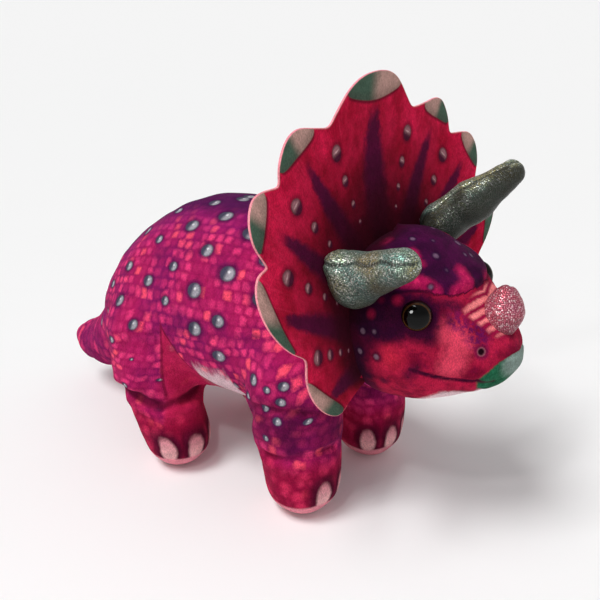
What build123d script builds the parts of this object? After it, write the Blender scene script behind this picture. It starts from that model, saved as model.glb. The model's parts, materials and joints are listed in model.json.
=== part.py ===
from build123d import *
import os
from math import cos, radians, sin, sqrt

# A plush three-horned dinosaur standing on four stuffed legs.
# Millimetres, +X towards the nose, +Y towards its left side, +Z up, soles on Z = 0.

# Cloth thickness, and the clearances: under the cloth, in a ball socket, and along a part that swings
CLOTH = 2.0
FILL_GAP = 0.3
JOINT_GAP = 0.6
SWEEP_GAP = 0.9
# Clearances of the torso's sockets: round a ball and along the limb that swings from it
LEG_BALL_GAP = 1.8
LEG_GAP = 1.2
TAIL_BALL_GAP = 2.2
TAIL_GAP = 1.6
NECK_BALL_GAP = 2.0

# Torso: station X, lowest Z, highest Z, half width
TORSO = (
    (-112.0, 65.0, 96.0, 17.0),
    (-103.0, 55.0, 111.0, 31.0),
    (-89.0, 48.0, 127.0, 42.0),
    (-65.0, 44.5, 146.0, 51.0),
    (-35.0, 44.0, 160.5, 55.0),
    (0.0, 45.5, 168.5, 56.0),
    (30.0, 49.0, 166.0, 54.0),
    (54.0, 55.0, 158.0, 49.0),
    (75.0, 65.0, 146.0, 41.0),
)
TORSO_TAIL_END = (-117.0, 80.0)
TORSO_FRONT_X = 73.0
BELLY_HALF_WIDTH = 30.0
BELLY_TOP_Z = 80.0

# Head: the same four numbers per station
HEAD = (
    (85.0, 91.0, 150.0, 34.0),
    (95.0, 81.0, 162.0, 43.0),
    (107.0, 78.0, 168.0, 47.0),
    (119.0, 78.5, 168.0, 47.5),
    (131.0, 80.0, 164.0, 46.0),
    (143.0, 83.5, 155.5, 39.0),
    (152.0, 87.0, 145.0, 31.5),
    (162.0, 91.5, 134.5, 25.0),
    (170.0, 97.0, 126.0, 18.0),
)
HEAD_NOSE_END = (176.5, 111.0)
BEAK_BACK_X = 159.0
BEAK_TOP_Z = 119.0
FOREHEAD_HALF_WIDTH = 17.0
FOREHEAD_LOW_Z = 119.0
CHIN_TOP_Z = 92.0

# Neck: a stuffed capsule with a ball at each end
NECK_TURN = (58.0, 0.0, 118.0)
NECK_TURN_RADIUS = 28.0
NECK_NOD = (97.0, 0.0, 119.0)
NECK_NOD_RADIUS = 29.0
# Mouth of the torso's neck socket, flared for the neck's turn to each side
NECK_FLARE_LENGTH = 30.0
NECK_FLARE_RADIUS = 38.5
# Mouth of the head's socket round the neck, flared for the nod
NOD_FLARE_GAP = 0.9
NOD_FLARE_LENGTH = 30.0
NOD_FLARE_RADIUS = 37.0

# Legs: centre X, centre |Y|, Z, radius of each level, lowest first; the last one is the ball
FRONT_LEG = (
    (67.0, 37.5, 0.0, 15.0),
    (67.0, 37.5, 5.0, 19.9),
    (67.0, 37.5, 13.0, 22.0),
    (67.0, 37.5, 22.0, 22.3),
    (66.0, 37.5, 35.0, 22.6),
    (63.0, 37.0, 55.0, 24.6),
    (60.5, 37.0, 74.0, 26.0),
)
HIND_LEG = (
    (-28.0, 46.0, 0.0, 14.0),
    (-28.0, 46.0, 5.0, 18.8),
    (-28.0, 46.0, 13.0, 20.8),
    (-29.0, 46.0, 22.0, 21.2),
    (-35.0, 45.5, 34.0, 21.0),
    (-41.0, 43.5, 47.0, 23.0),
    (-45.0, 40.5, 60.0, 27.0),
    (-46.0, 39.0, 70.0, 29.5),
)
SOLE = 2.2
DOME_ANGLES = (30, 55, 76)
FRONT_SWING = (-15, 0, 15)
HIND_SWING = (-15, 0, 15)

# Tail: X, Z, radius down its middle line; the first one is the ball
TAIL = (
    (-90.0, 77.0, 28.0),
    (-107.0, 61.0, 25.0),
    (-123.0, 47.0, 22.0),
    (-139.0, 38.5, 18.5),
    (-155.0, 35.5, 15.0),
    (-167.0, 36.0, 10.0),
)
TAIL_TIP = (-176.5, 36.0)
TAIL_SWING = (-20, -10, 0, 10, 20)

# Brow horns: base centre, tip centre, base radius, tip radius
BROW_RADII = (12.8, 7.4)
RIGHT_BROW = ((102.5, -49.3, 152.0), (140.0, -65.0, 171.0))
LEFT_BROW = ((106.5, 44.5, 161.5), (138.0, 58.5, 190.5))
NOSE_RADII = (10.3, 6.0)
NOSE_HORN = ((162.0, 0.0, 131.5), (164.3, 0.0, 146.0))
HORN_GAP = 2.6

# Frill: half outline as Y, Z of valley, shoulder, tip, shoulder for each lobe, top first
FRILL_TOP = ((0.0, 246.5), (15.0, 245.0), (27.0, 240.0), (36.0, 231.0))
FRILL_LOBES = (
    ((42.0, 223.0), (54.0, 229.0), (68.0, 230.5), (79.0, 226.5), (84.5, 217.0)),
    ((85.0, 204.0), (96.0, 208.0), (107.0, 205.5), (113.0, 196.5), (111.5, 184.5)),
    ((103.0, 172.0), (111.5, 170.0), (116.5, 161.0), (115.5, 149.5), (106.0, 137.5)),
    ((91.0, 127.0), (94.0, 114.0), (88.5, 101.5), (75.5, 93.0), (60.0, 91.0)),
)
FRILL_INNER = (43.0, 98.0)
FRILL_CLOTH = 1.1
FRILL_FOAM = 1.8
FRILL_PIVOT = (95.0, 0.0, 123.0)
FRILL_HOLE = (49.5, 49.5)
FRILL_HOLE_Z = 118.0
FRILL_BEND = (-18, -9, 0, 4)
# First value, step and count of the points that carry the frill's curved sheet
FRILL_GRID_Y = (-128.0, 32.0, 9)
FRILL_GRID_Z = (80.0, 25.0, 8)
# X of the frill's back face over Y and Z
FRILL_X = 88.3
FRILL_YY = 0.000875
FRILL_Z = -0.21
FRILL_ZZ = 0.00066
FRILL_ZZZ = 0.0000111
FRILL_YYZ = -0.000006
FRILL_MID_Z = 160.0

# Safety eyes
EYE_CENTRE = (137.6, 39.6, 139.0)
EYE_NORMAL = (0.42, 0.88, 0.22)
EYE_RADIUS = 7.4
EYE_RIM = 1.6
EYE_DOME = 4.2
EYE_CORE_RADIUS = 6.6
EYE_CORE = 1.0
EYE_SUNK = 1.6
POST_RADIUS = 2.2
POST_LENGTH = 15.0
WASHER_RADIUS = 8.5
WASHER = 1.6
WASHER_DEPTH = 6.5

BIG = 600.0


def ball(centre, radius):
    return Pos(*centre) * Sphere(radius)


def box(low, high):
    size = [h - l for l, h in zip(low, high)]
    middle = [(h + l) / 2 for l, h in zip(low, high)]
    return Pos(*middle) * Box(*size)


def ellipse_at(x, low, high, half):
    plane = Plane(origin=(x, 0, (low + high) / 2), x_dir=(0, 1, 0), z_dir=(1, 0, 0))
    return plane * Ellipse(half, (high - low) / 2)


def torso_shape(inset):
    """The torso drawn in by an inset all round."""
    x, z = TORSO_TAIL_END
    end = Vertex(x + inset, 0, z)
    sections = [ellipse_at(s[0], s[1] + inset, s[2] - inset, s[3] - inset) for s in TORSO]
    solid = loft([end] + sections)
    return solid & box((-BIG, -BIG, -BIG), (TORSO_FRONT_X - inset, BIG, BIG))


def head_shape(inset):
    """The head from its back face to the tip of the beak, drawn in by an inset."""
    x, z = HEAD_NOSE_END
    end = Vertex(x - inset, 0, z)
    sections = [ellipse_at(s[0], s[1] + inset, s[2] - inset, s[3] - inset) for s in HEAD]
    solid = loft(sections + [end])
    return solid & box((HEAD[0][0] + inset, -BIG, -BIG), (BIG, BIG, BIG))


def cone_between(a, b, ra, rb):
    """A rounded cone: two balls and the cone that touches both of them, turned as one profile."""
    axis = Vector(*b) - Vector(*a)
    length = axis.length
    lean = (ra - rb) / length
    side = sqrt(1 - lean * lean)
    low = (ra * side, ra * lean)
    high = (rb * side, length + rb * lean)
    half = sqrt(0.5)
    profile = make_face(
        [
            ThreePointArc((0, -ra), (ra * half, -ra * half), low),
            Line(low, high),
            ThreePointArc(high, (rb * half, length + rb * half), (0, length + rb)),
            Line((0, length + rb), (0, -ra)),
        ]
    )
    solid = revolve(Plane.XZ * profile, axis=Axis.Z)
    return Plane(origin=a, z_dir=axis) * solid


def neck_shape(inset):
    return cone_between(NECK_TURN, NECK_NOD, NECK_TURN_RADIUS - inset, NECK_NOD_RADIUS - inset)


def leg_shape(levels, side, inset, domed=True):
    """A leg with a flat sole, on one side of the body, with a dome round its hip or cut off level there."""
    circles = []
    for x, y, z, radius in levels:
        circles.append(Pos(x, side * y, max(z, inset)) * Circle(radius - inset))
    if not domed:
        return loft(circles)
    x, y, z, radius = levels[-1]
    for angle in DOME_ANGLES:
        rise = (radius - inset) * sin(radians(angle))
        circles.append(Pos(x, side * y, z + rise) * Circle((radius - inset) * cos(radians(angle))))
    return loft(circles + [Vertex(x, side * y, z + radius - inset)])


def tail_shape(inset, domed=True):
    """The tail round its drooping middle line, with a dome at its root or cut off there."""
    circles = []
    x, z, radius = TAIL[0]
    forward = Vector(x - TAIL[1][0], 0, z - TAIL[1][1]).normalized()
    root = Vector(x, 0, z)
    for angle in reversed(DOME_ANGLES if domed else ()):
        centre = root + forward * ((radius - inset) * sin(radians(angle)))
        plane = Plane(origin=centre, x_dir=(0, 1, 0), z_dir=-forward)
        circles.append(plane * Circle((radius - inset) * cos(radians(angle))))
    for i, (x, z, radius) in enumerate(TAIL):
        before = TAIL[max(i - 1, 0)]
        after = TAIL[i + 1] if i + 1 < len(TAIL) else TAIL_TIP
        heading = (after[0] - before[0], 0, after[1] - before[1])
        circles.append(Plane(origin=(x, 0, z), x_dir=(0, 1, 0), z_dir=heading) * Circle(radius - inset))
    top = root + forward * (TAIL[0][2] - inset)
    start = [Vertex(*top)] if domed else []
    return loft(start + circles + [Vertex(TAIL_TIP[0] + inset, 0, TAIL_TIP[1])])


def swept(shape, pivot, direction, angles):
    """The shape turned to each angle about an axis."""
    axis = Axis(pivot, direction)
    return [shape.rotate(axis, angle) for angle in angles]


def without(shape, rooms):
    """The shape with each room cut out of it in turn."""
    for room in rooms:
        shape = shape - room
    return shape


def solids_of(shape):
    return sorted(shape.solids(), key=lambda s: s.volume, reverse=True)


def keep(name, shape):
    """Store the largest solid of a shape as one named node."""
    solid = solids_of(shape)[0]
    solid.label = name
    export_step(solid, os.path.join("parts", name + ".step"))


def frill_face(offset):
    """The curved sheet that the frill's layers follow."""
    rows = []
    for i in range(FRILL_GRID_Y[2]):
        y = FRILL_GRID_Y[0] + FRILL_GRID_Y[1] * i
        row = []
        for j in range(FRILL_GRID_Z[2]):
            z = FRILL_GRID_Z[0] + FRILL_GRID_Z[1] * j
            rise = z - FRILL_MID_Z
            x = FRILL_X + FRILL_YY * y * y + FRILL_Z * rise + FRILL_ZZ * rise * rise
            x = x + FRILL_ZZZ * rise**3 + FRILL_YYZ * y * y * rise
            row.append(Vector(x + offset, y, z))
        rows.append(row)
    return Face.make_surface_from_array_of_points(rows)


def frill_outline():
    """Nine scallops, open towards the throat."""
    valley = FRILL_LOBES[0][0]
    left_half = list(FRILL_TOP) + [valley]
    lobes = [[(-y, z) for y, z in reversed(left_half[1:])] + left_half]
    for i, lobe in enumerate(FRILL_LOBES):
        follow = [FRILL_LOBES[i + 1][0]] if i + 1 < len(FRILL_LOBES) else []
        lobes.append(list(lobe) + follow)
    edges = []
    for i, points in enumerate(lobes):
        edges.append(Spline(*[(0, y, z) for y, z in points]))
        if i:
            edges.append(Spline(*[(0, -y, z) for y, z in points]))
    last = FRILL_LOBES[-1][-1]
    for side in (-1, 1):
        edges.append(Line((0, side * last[0], last[1]), (0, side * FRILL_INNER[0], FRILL_INNER[1])))
    edges.append(Line((0, -FRILL_INNER[0], FRILL_INNER[1]), (0, FRILL_INNER[0], FRILL_INNER[1])))
    return make_face(edges)


os.makedirs("parts", exist_ok=True)

SIDES = {"right": -1, "left": 1}

# Room for the limbs in the torso, clear over each limb's whole travel
tail_pivot = (TAIL[0][0], 0, TAIL[0][1])
torso_room = [ball(tail_pivot, TAIL[0][2] + TAIL_BALL_GAP)]
torso_room += swept(tail_shape(-TAIL_GAP, domed=False), tail_pivot, (0, 0, 1), TAIL_SWING)
for side in SIDES.values():
    for levels, swing in ((FRONT_LEG, FRONT_SWING), (HIND_LEG, HIND_SWING)):
        x, y, z, radius = levels[-1]
        hip = (x, side * y, z)
        torso_room.append(ball(hip, radius + LEG_BALL_GAP))
        torso_room += swept(leg_shape(levels, side, -LEG_GAP, domed=False), hip, (0, 1, 0), swing)
flare = Cone(NECK_TURN_RADIUS + NECK_BALL_GAP, NECK_FLARE_RADIUS, NECK_FLARE_LENGTH)
neck_line = Vector(*NECK_NOD) - Vector(*NECK_TURN)
torso_room.append(Plane(origin=NECK_TURN, z_dir=neck_line) * Pos(0, 0, NECK_FLARE_LENGTH / 2) * flare)

# Torso: two printed side panels, a pale belly panel and the filling
torso_skin = without(torso_shape(0) - torso_shape(CLOTH), torso_room)
torso_skin = torso_skin & box((-BIG, -BIG, -BIG), (TORSO_FRONT_X - CLOTH, BIG, BIG))
belly_zone = box((-104.0, -BELLY_HALF_WIDTH, 0.0), (BIG, BELLY_HALF_WIDTH, BELLY_TOP_Z))
keep("torso_belly_panel", torso_skin & belly_zone)
torso_sides = torso_skin - belly_zone
keep("torso_right_panel", torso_sides & box((-BIG, -BIG, -BIG), (BIG, 0, BIG)))
keep("torso_left_panel", torso_sides & box((-BIG, 0, -BIG), (BIG, BIG, BIG)))
neck_socket = ball(NECK_TURN, NECK_TURN_RADIUS + NECK_BALL_GAP)
keep("torso_filling", without(torso_shape(CLOTH + FILL_GAP), torso_room + [neck_socket]))

# Neck
keep("neck_skin", neck_shape(0) - neck_shape(CLOTH))
keep("neck_filling", neck_shape(CLOTH + FILL_GAP))

# Legs: outer panel, inner panel, sole and filling
for side_name, side in SIDES.items():
    for leg_name, levels in (("front", FRONT_LEG), ("hind", HIND_LEG)):
        name = side_name + "_" + leg_name + "_leg_"
        outer = leg_shape(levels, side, 0)
        skin = outer - leg_shape(levels, side, CLOTH)
        sole_zone = box((-BIG, -BIG, -BIG), (BIG, BIG, SOLE))
        upper = skin - sole_zone
        middle = side * (levels[0][1] + levels[-1][1]) / 2
        far_y = side * BIG
        low_y, high_y = sorted((middle, far_y))
        half = box((-BIG, low_y, -BIG), (BIG, high_y, BIG))
        keep(name + "outer_panel", upper & half)
        keep(name + "inner_panel", upper - half)
        keep(name + "sole", outer & sole_zone)
        fill = leg_shape(levels, side, CLOTH + FILL_GAP)
        keep(name + "filling", fill & box((-BIG, -BIG, SOLE + FILL_GAP), (BIG, BIG, BIG)))

# Tail
tail_skin = tail_shape(0) - tail_shape(CLOTH)
keep("tail_right_panel", tail_skin & box((-BIG, -BIG, -BIG), (BIG, 0, BIG)))
keep("tail_left_panel", tail_skin & box((-BIG, 0, -BIG), (BIG, BIG, BIG)))
keep("tail_filling", tail_shape(CLOTH + FILL_GAP))

# Horns: a sleeve and its filling on each body of their own
horn_room = []
for name, horn, base_radius, tip_radius in (
    ("right_brow_horn", RIGHT_BROW, *BROW_RADII),
    ("left_brow_horn", LEFT_BROW, *BROW_RADII),
    ("nose_horn", NOSE_HORN, *NOSE_RADII),
):
    sleeve = cone_between(*horn, base_radius, tip_radius)
    hollow = cone_between(*horn, base_radius - CLOTH / 2, tip_radius - CLOTH / 2)
    inner = CLOTH / 2 + FILL_GAP
    keep(name + "_sleeve", sleeve - hollow)
    keep(name + "_filling", cone_between(*horn, base_radius - inner, tip_radius - inner))
    horn_room.append(cone_between(*horn, base_radius + HORN_GAP, tip_radius + HORN_GAP))

# Head: cheeks, forehead, chin and beak panels round the filling, with the eyes set in
neck_big = cone_between(NECK_TURN, NECK_NOD, NECK_TURN_RADIUS + SWEEP_GAP, NECK_NOD_RADIUS + JOINT_GAP)
head_room = horn_room + [neck_big]
for side_name, side in SIDES.items():
    normal = Vector(EYE_NORMAL[0], side * EYE_NORMAL[1], EYE_NORMAL[2]).normalized()
    centre = Vector(EYE_CENTRE[0], side * EYE_CENTRE[1], EYE_CENTRE[2])
    seat = centre - normal * EYE_SUNK
    plane = Plane(origin=seat, z_dir=normal)
    rim = plane * Pos(0, 0, EYE_RIM / 2) * Cylinder(EYE_RADIUS, EYE_RIM)
    dome_radius = (EYE_RADIUS * EYE_RADIUS + EYE_DOME * EYE_DOME) / (2 * EYE_DOME)
    dome = plane * Pos(0, 0, EYE_RIM + EYE_DOME - dome_radius) * Sphere(dome_radius)
    above = plane * Pos(0, 0, EYE_RIM + BIG / 2) * Box(BIG, BIG, BIG)
    lens = dome & above
    core_disc = plane * Pos(0, 0, EYE_CORE / 2) * Cylinder(EYE_CORE_RADIUS, EYE_CORE)
    post = plane * Pos(0, 0, -POST_LENGTH / 2) * Cylinder(POST_RADIUS, POST_LENGTH)
    washer_place = plane * Pos(0, 0, -WASHER_DEPTH)
    washer = washer_place * Cylinder(WASHER_RADIUS, WASHER) - washer_place * Cylinder(POST_RADIUS, WASHER * 2)
    keep(side_name + "_eye_dome", (rim + lens) - core_disc)
    keep(side_name + "_eye_core", core_disc + post)
    keep(side_name + "_eye_washer", washer)
    whole = rim + lens + post
    washer_seat = washer_place * Cylinder(WASHER_RADIUS + FILL_GAP, WASHER + 2 * FILL_GAP)
    tall = plane * Pos(0, 0, EYE_DOME) * Cylinder(EYE_RADIUS, 2 * EYE_DOME)
    head_room += [whole, washer_seat, tall]
nod_flare = Cone(NECK_NOD_RADIUS + NOD_FLARE_GAP, NOD_FLARE_RADIUS, NOD_FLARE_LENGTH)
head_room.append(Plane(origin=NECK_NOD, z_dir=-neck_line) * Pos(0, 0, NOD_FLARE_LENGTH / 2) * nod_flare)
head_skin = without(head_shape(0) - head_shape(CLOTH), head_room)
head_skin = head_skin & box((HEAD[0][0] + CLOTH, -BIG, -BIG), (BIG, BIG, BIG))
beak_zone = box((BEAK_BACK_X, -BIG, -BIG), (BIG, BIG, BEAK_TOP_Z))
forehead_zone = box((-BIG, -FOREHEAD_HALF_WIDTH, FOREHEAD_LOW_Z), (BIG, FOREHEAD_HALF_WIDTH, BIG))
chin_zone = box((-BIG, -BIG, -BIG), (BIG, BIG, CHIN_TOP_Z))
keep("head_beak_panel", head_skin & beak_zone)
head_rest = head_skin - beak_zone
keep("head_forehead_panel", head_rest & forehead_zone)
head_rest = head_rest - forehead_zone
keep("head_chin_panel", head_rest & chin_zone)
head_rest = head_rest - chin_zone
keep("head_right_cheek", head_rest & box((-BIG, -BIG, -BIG), (BIG, 0, BIG)))
keep("head_left_cheek", head_rest & box((-BIG, 0, -BIG), (BIG, BIG, BIG)))
keep("head_filling", without(head_shape(CLOTH + FILL_GAP), head_room))

# Frill: back cloth, foam and front cloth, with room for the head and the horns as it bends
scallops = extrude(frill_outline(), amount=BIG, dir=(1, 0, 0))
hole = Pos(0, 0, FRILL_HOLE_Z) * Rot(0, 90, 0) * extrude(Ellipse(FRILL_HOLE[1], FRILL_HOLE[0]), amount=BIG)
frill_room = [hole]
for horn in (RIGHT_BROW, LEFT_BROW):
    base_ball = ball(horn[0], BROW_RADII[0] + SWEEP_GAP)
    frill_room += swept(base_ball, FRILL_PIVOT, (0, 1, 0), [-angle for angle in FRILL_BEND])
start = 0.0
for name, thickness in (
    ("frill_back_cloth", FRILL_CLOTH),
    ("frill_foam", FRILL_FOAM),
    ("frill_front_cloth", FRILL_CLOTH),
):
    layer = extrude(frill_face(start), amount=thickness, dir=(1, 0, 0))
    keep(name, without(layer & scallops, frill_room))
    start = start + thickness
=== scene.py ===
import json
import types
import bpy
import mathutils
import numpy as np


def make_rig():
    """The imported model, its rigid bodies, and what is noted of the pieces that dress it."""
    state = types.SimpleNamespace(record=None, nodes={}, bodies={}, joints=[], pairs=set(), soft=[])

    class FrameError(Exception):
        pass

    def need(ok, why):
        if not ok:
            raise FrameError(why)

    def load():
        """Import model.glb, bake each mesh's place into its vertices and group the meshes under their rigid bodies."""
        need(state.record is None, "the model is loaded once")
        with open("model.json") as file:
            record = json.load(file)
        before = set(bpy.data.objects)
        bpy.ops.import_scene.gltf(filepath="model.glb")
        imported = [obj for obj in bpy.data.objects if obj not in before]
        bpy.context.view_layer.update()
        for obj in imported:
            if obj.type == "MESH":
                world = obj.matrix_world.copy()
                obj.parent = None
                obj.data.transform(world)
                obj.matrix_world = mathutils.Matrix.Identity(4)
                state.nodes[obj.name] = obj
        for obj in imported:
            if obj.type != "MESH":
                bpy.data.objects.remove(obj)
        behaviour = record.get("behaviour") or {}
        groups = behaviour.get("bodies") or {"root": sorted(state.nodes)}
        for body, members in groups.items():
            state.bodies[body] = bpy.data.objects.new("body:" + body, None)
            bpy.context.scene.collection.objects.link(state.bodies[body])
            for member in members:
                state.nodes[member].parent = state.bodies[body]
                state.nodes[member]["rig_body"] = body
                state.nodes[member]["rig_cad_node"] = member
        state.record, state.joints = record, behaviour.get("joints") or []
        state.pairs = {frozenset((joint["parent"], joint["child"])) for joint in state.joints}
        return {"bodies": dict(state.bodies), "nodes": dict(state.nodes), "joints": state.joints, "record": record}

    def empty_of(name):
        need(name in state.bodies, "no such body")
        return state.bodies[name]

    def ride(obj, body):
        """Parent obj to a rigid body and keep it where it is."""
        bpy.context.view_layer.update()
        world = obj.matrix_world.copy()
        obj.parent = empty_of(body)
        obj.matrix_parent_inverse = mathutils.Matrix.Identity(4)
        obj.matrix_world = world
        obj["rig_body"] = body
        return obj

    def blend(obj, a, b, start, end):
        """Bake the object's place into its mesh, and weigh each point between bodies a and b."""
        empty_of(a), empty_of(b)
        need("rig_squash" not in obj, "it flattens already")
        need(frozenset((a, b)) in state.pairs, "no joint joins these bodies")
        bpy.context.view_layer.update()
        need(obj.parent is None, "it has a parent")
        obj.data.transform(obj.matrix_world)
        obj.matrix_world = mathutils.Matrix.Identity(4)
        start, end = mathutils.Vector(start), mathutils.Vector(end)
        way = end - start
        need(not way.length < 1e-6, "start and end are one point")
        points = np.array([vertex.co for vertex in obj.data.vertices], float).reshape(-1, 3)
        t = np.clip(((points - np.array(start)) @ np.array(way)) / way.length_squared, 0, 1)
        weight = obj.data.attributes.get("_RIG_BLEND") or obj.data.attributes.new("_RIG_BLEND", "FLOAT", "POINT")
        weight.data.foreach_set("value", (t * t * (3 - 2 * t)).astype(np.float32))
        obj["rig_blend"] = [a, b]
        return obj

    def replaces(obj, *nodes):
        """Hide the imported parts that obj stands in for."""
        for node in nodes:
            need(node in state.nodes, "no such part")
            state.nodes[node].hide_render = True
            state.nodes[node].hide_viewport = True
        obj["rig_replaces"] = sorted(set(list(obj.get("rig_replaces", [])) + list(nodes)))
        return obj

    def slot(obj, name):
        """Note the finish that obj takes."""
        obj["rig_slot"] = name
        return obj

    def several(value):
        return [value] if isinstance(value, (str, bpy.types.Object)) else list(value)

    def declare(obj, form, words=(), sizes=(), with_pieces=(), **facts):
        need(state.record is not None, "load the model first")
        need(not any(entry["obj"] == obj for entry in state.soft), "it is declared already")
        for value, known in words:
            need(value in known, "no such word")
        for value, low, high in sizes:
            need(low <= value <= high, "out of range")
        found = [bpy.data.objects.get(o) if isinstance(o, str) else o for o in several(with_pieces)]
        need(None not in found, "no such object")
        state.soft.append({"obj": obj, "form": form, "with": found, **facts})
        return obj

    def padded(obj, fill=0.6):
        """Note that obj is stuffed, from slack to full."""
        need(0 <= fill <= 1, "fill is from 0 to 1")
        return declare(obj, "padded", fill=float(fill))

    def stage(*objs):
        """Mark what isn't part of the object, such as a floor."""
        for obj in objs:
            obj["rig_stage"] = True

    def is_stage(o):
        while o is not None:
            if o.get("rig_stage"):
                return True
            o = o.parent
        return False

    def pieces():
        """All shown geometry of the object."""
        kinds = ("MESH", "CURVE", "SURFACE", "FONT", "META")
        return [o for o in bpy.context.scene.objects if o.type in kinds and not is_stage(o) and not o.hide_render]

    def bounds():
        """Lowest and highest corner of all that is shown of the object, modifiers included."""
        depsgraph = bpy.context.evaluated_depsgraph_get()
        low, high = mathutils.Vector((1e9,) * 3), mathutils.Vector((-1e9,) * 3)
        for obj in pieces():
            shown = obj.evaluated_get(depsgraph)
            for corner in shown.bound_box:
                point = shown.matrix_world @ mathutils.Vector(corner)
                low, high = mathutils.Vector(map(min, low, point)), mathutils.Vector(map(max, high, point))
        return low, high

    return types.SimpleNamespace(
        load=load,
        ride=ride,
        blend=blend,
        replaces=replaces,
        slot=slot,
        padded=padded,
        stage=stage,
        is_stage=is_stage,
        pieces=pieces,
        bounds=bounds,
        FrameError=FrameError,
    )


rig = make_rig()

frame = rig.load()

import json
import math

import bpy
import numpy as np
from mathutils import Vector

# A plush three-horned dinosaur. Lengths are millimetres until a mesh is made; the frame is metres.
MM = 0.001
cad_low, cad_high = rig.bounds()

# ---------------------------------------------------------------- body measurements
# Sections of the stuffed torso and head: X, lowest Z, widest Z, highest Z, half width
TORSO = (
    (-117, 80, 80, 80, 0),
    (-112, 65, 81, 96, 17),
    (-103, 55, 83, 111, 31),
    (-89, 48, 86, 129.5, 42),
    (-65, 46, 90, 149, 51),
    (-35, 47, 94, 163.5, 55),
    (0, 47, 97, 168.5, 56),
    (30, 48.5, 99, 165, 54),
    (54, 55, 103, 158, 49),
    (74, 64, 108, 151, 43),
    (90, 76, 112, 146, 36),
    (100, 104, 112, 120, 0),
)
HEAD = (
    (76, 110, 118, 126, 0),
    (84, 90, 118, 149, 33),
    (95, 82.5, 119, 162, 43),
    (107, 80, 120, 168, 47),
    (119, 80, 120, 167, 48),
    (131, 81.5, 119, 161.5, 46),
    (143, 85, 114, 152, 39.5),
    (152, 89, 110, 142.5, 31.5),
    (162, 93.5, 108, 133, 24.5),
    (169, 98.5, 109, 125, 17.5),
    (173, 105, 111, 118, 8),
    (174.6, 111, 111, 111, 0),
)
# Balls along the middle of each limb: centre and radius
FRONT_LEG = (
    ((66.5, 37.5, 21.5), 22.6),
    ((65.5, 37.5, 34), 22.7),
    ((62, 37, 54), 25),
    ((58, 34, 80), 28),
)
HIND_LEG = (
    ((-26.5, 46, 20.5), 21),
    ((-32, 45.5, 31), 20.5),
    ((-39, 43.5, 44), 21),
    ((-45, 38, 62), 29.5),
    ((-50, 32, 80), 35),
)
TAIL = (
    ((-90, 0, 77), 28),
    ((-107, 0, 61), 25),
    ((-123, 0, 47), 22),
    ((-139, 0, 38.5), 18.5),
    ((-153, 0, 35.5), 15),
    ((-164.5, 0, 36), 9.3),
)
NECK = (((66, 0, 112), 36), ((98, 0, 121), 38))
# Studs printed on the outer side of each front leg: centre on the skin and radius
LEG_STUDS = (
    ((49, 59.5, 86), 2.9),
    ((44.5, 57.5, 74.5), 2.0),
    ((60, 61.5, 84), 1.9),
    ((69, 58.5, 87.5), 2.4),
    ((68.5, 59.5, 78.5), 2.4),
    ((57.5, 61.5, 71.5), 2.0),
    ((66.5, 61, 66.5), 2.4),
    ((80.5, 52, 67), 1.4),
    ((59, 62, 54), 1.8),
)
SKIN_STEP = 1.6
SKIN_LOW, SKIN_HIGH = (-182, -82, -4), (182, 82, 176)

# Where the cloth starts to follow the next body: along X, down Z, and along a leaning neck line
TAIL_CUT, TAIL_END = -109, -150
FRONT_CUT, HIND_CUT, LEG_END = 46, 41, 17
NECK_LINE = Vector((0.9063, 0, 0.4226))
NECK_CUTS = (112, 136, 152)

# ---------------------------------------------------------------- small maths


def ramp(low, high, value):
    t = np.clip((value - low) / (high - low), 0, 1)
    return t * t * (3 - 2 * t)


def merge(a, b, soft):
    """Union of two distance fields, rounded over a soft width."""
    h = np.clip(0.5 + 0.5 * (b - a) / soft, 0, 1)
    return b + (a - b) * h - soft * h * (1 - h)


def curve_through(knots, values, at):
    """Smooth curve through the knots, held level beyond both ends."""
    knots, values = np.array(knots, float), np.array(values, float)
    slope = np.gradient(values, knots)
    at = np.clip(at, knots[0], knots[-1])
    i = np.clip(np.searchsorted(knots, at) - 1, 0, len(knots) - 2)
    d = knots[i + 1] - knots[i]
    t = (at - knots[i]) / d
    return (
        (2 * t**3 - 3 * t**2 + 1) * values[i]
        + (t**3 - 2 * t**2 + t) * d * slope[i]
        + (3 * t**2 - 2 * t**3) * values[i + 1]
        + (t**3 - t**2) * d * slope[i + 1]
    )


def cone(x, y, z, a, b, ra, rb):
    """Distance to a rounded cone between two balls."""
    axis = np.array(b, float) - np.array(a, float)
    px, py, pz = x - a[0], y - a[1], z - a[2]
    t = np.clip((px * axis[0] + py * axis[1] + pz * axis[2]) / (axis @ axis), 0, 1)
    gap = (px - t * axis[0]) ** 2 + (py - t * axis[1]) ** 2 + (pz - t * axis[2]) ** 2
    return np.sqrt(gap) - (ra + (rb - ra) * t)


def limb(x, y, z, chain, soft):
    field = None
    for (a, ra), (b, rb) in zip(chain, chain[1:]):
        part = cone(x, y, z, a, b, ra, rb)
        field = part if field is None else merge(field, part, soft)
    return field


def section(stations, x):
    """Widest Z, height above it, depth below it and half width at X."""
    xs, low, mid, high, half = np.array(stations, float).T
    tall = np.sqrt(np.maximum(curve_through(xs, (high - mid) ** 2, x), 0.05))
    deep = np.sqrt(np.maximum(curve_through(xs, (mid - low) ** 2, x), 0.05))
    wide = np.sqrt(np.maximum(curve_through(xs, half**2, x), 0.05))
    return curve_through(xs, mid, x), tall, deep, wide


def loft(x, y, z, stations, low_power):
    """Field of a body given by its sections along X, squarer below than above."""
    mid, tall, deep, wide = section(stations, x)
    rise = z - mid
    height = np.where(rise > 0, tall, deep)
    power = np.where(rise > 0, 2.0, low_power)
    k = ((np.abs(y) / wide) ** power + (np.abs(rise) / height) ** power) ** (1 / power)
    beyond = np.maximum(stations[0][0] - x, x - stations[-1][0])
    return np.maximum((k - 1) * np.minimum(wide, height), beyond + 0 * k)


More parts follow.
